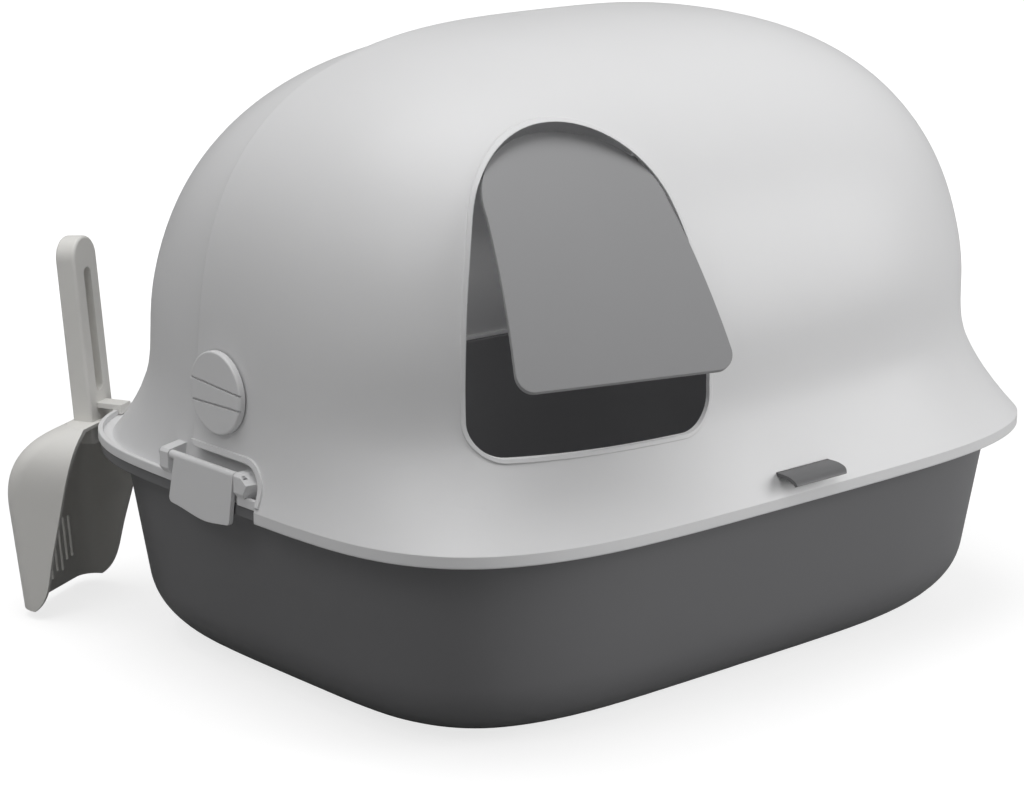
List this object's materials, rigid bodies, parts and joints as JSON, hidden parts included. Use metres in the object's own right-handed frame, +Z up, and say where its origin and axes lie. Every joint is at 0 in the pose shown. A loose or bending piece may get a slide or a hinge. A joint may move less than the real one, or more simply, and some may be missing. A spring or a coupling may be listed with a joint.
{
  "type": "covered litter box",
  "caption": "Covered litter tray with a two-shell hood, tilting front, swinging door flap, side latches and a hanging scoop.",
  "frame": {"origin": "middle of the tray's flat underside", "axes": "+X along the long side, to the right of someone facing the doorway; +Y to the back; +Z up"},
  "size_m": [0.5449, 0.4937, 0.3859],
  "materials": {
    "tray_plastic": "satin moulded dark grey",
    "hood_plastic": "satin moulded white",
    "flap_plastic": "satin moulded mid grey",
    "tab_plastic": "satin moulded dark grey",
    "scoop_plastic": "satin moulded warm white",
    "pin_steel": "drawn wire"
  },
  "bodies": {
    "tray_body": {"tray": "tray_plastic"},
    "rear_hood": {"rear_shell": "hood_plastic", "pivot_cap_left": "hood_plastic", "pivot_cap_right": "hood_plastic", "pivot_ring_left": "hood_plastic", "pivot_ring_right": "hood_plastic", "latch_pin_left": "pin_steel", "latch_pin_right": "pin_steel"},
    "front_hood": {"front_shell": "hood_plastic", "front_tab": "tab_plastic"},
    "flap": {"door_flap": "flap_plastic"},
    "left_latch": {"latch_left": "hood_plastic"},
    "right_latch": {"latch_right": "hood_plastic"},
    "hanging_scoop": {"scoop": "scoop_plastic"}
  },
  "joints": [
    {"name": "hood_lift", "type": "slide", "parent": "tray_body", "child": "rear_hood", "axis": [0, 0, 1], "range_m": [0, 0.036]},
    {"name": "front_tilt", "type": "hinge", "parent": "rear_hood", "child": "front_hood", "pos_m": [0, 0.006, 0.189], "axis": [-1, 0, 0], "range_deg": [0, 33]},
    {"name": "flap_swing", "type": "hinge", "parent": "front_hood", "child": "flap", "pos_m": [-0.12464, -0.13117, 0.3215], "axis": [-0.9627, 0.2706, 0], "range_deg": [-70, 5]},
    {"name": "latch_left_swing", "type": "hinge", "parent": "rear_hood", "child": "left_latch", "pos_m": [-0.2672, 0, 0.1447], "axis": [0, 1, 0], "range_deg": [0, 145]},
    {"name": "latch_right_swing", "type": "hinge", "parent": "rear_hood", "child": "right_latch", "pos_m": [0.2672, 0, 0.1447], "axis": [0, -1, 0], "range_deg": [0, 145]},
    {"name": "scoop_lift", "type": "slide", "parent": "rear_hood", "child": "hanging_scoop", "axis": [0, 0, 1], "range_m": [0, 0.06]}
  ],
  "couplings": [
    {"joint": "latch_left_swing", "follows": "hood_lift", "rad_per_m": 69.8},
    {"joint": "latch_right_swing", "follows": "hood_lift", "rad_per_m": 69.8}
  ]
}
